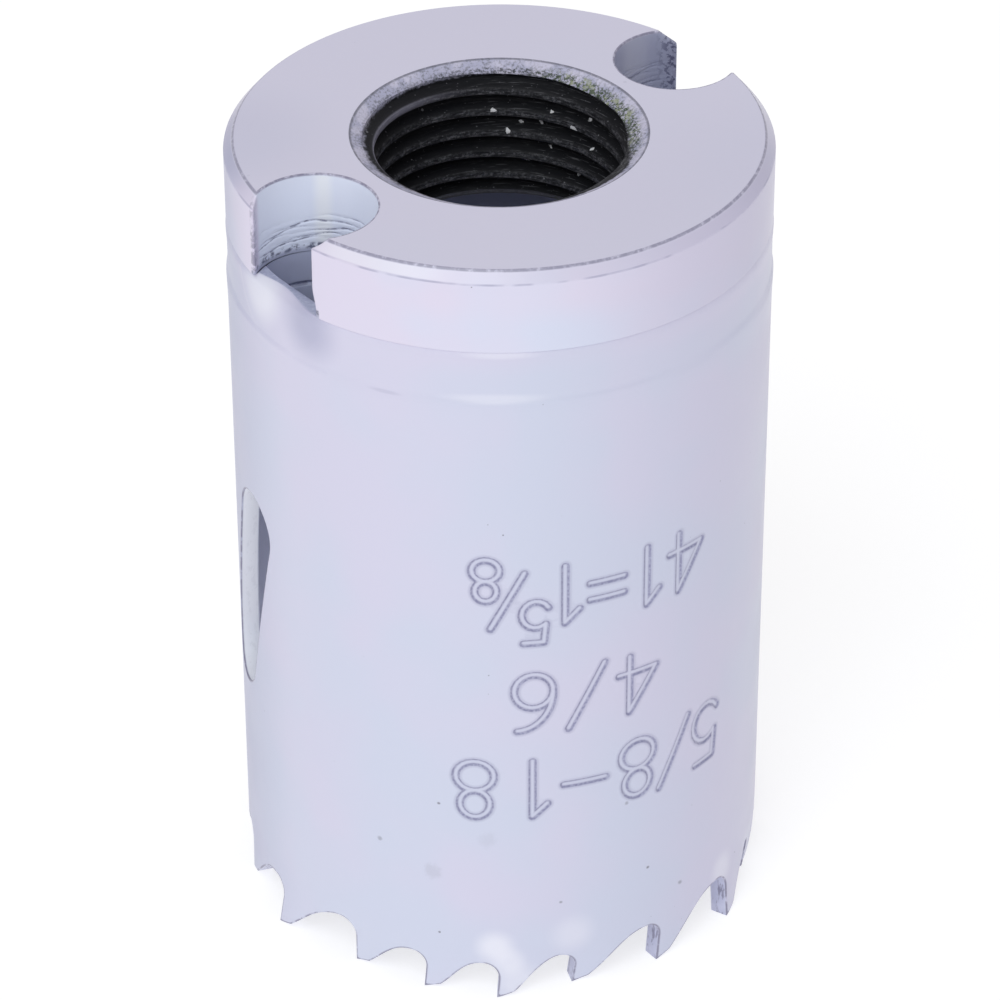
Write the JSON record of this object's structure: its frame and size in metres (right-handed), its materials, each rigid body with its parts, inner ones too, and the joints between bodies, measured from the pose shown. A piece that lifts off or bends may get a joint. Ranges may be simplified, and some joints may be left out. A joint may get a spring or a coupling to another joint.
{
  "type": "hole saw",
  "caption": "Toothed steel cup with a threaded end cap, drive-pin notches and slanted chip windows, for cutting round holes.",
  "frame": {"origin": "on the axis, in the plane of the tooth points that the saw stands on", "axes": "+Z along the axis from the teeth to the end cap, X through the two drive holes"},
  "size_m": [0.0324, 0.0324, 0.0512],
  "materials": {
    "cap_paint": "semi-gloss pale lavender paint on turned steel",
    "barrel_paint": "semi-gloss pale lavender paint on rolled strip steel",
    "tooth_paint": "the same paint over high-speed steel, worn thin on the edges"
  },
  "bodies": {
    "root": {"end_cap": "cap_paint", "barrel": "barrel_paint", "tooth_tip_01": "tooth_paint", "tooth_tip_02": "tooth_paint", "tooth_tip_03": "tooth_paint", "tooth_tip_04": "tooth_paint", "tooth_tip_05": "tooth_paint", "tooth_tip_06": "tooth_paint", "tooth_tip_07": "tooth_paint", "tooth_tip_08": "tooth_paint", "tooth_tip_09": "tooth_paint", "tooth_tip_10": "tooth_paint", "tooth_tip_11": "tooth_paint", "tooth_tip_12": "tooth_paint", "tooth_tip_13": "tooth_paint", "tooth_tip_14": "tooth_paint", "tooth_tip_15": "tooth_paint", "tooth_tip_16": "tooth_paint", "tooth_tip_17": "tooth_paint", "tooth_tip_18": "tooth_paint", "tooth_tip_19": "tooth_paint"}
  },
  "joints": []
}
